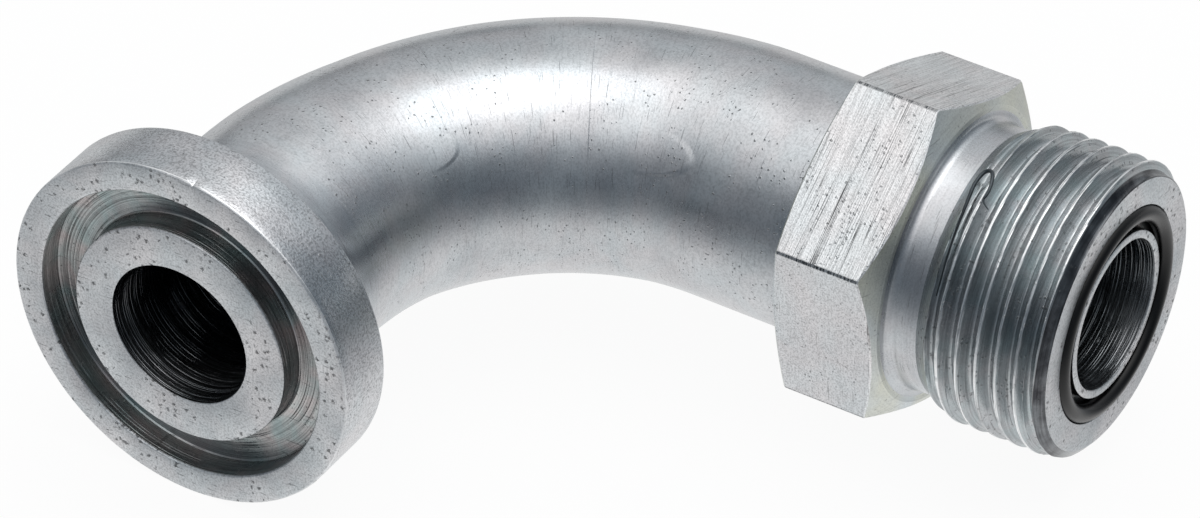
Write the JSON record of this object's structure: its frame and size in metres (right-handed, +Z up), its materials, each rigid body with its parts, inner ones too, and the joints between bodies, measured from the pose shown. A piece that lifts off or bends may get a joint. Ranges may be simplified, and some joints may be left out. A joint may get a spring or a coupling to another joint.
{
  "type": "hydraulic elbow adapter",
  "caption": "Right-angle steel tube fitting with a grooved split-flange head on one leg and a hexagon, thread and O-ring face seal on the other.",
  "frame": {"origin": "centre of the flange's sealing face", "axes": "-Y out of the flange's sealing face, +X out of the threaded end, +Z up, square to the plane of the bend"},
  "size_m": [0.0932, 0.0673, 0.038],
  "materials": {
    "plated_steel": "bright zinc plate, turned, milled and lightly scratched",
    "seal_rubber": "smooth and glossy"
  },
  "bodies": {
    "root": {"fitting_body": "plated_steel", "face_seal_ring": "seal_rubber"}
  },
  "joints": []
}
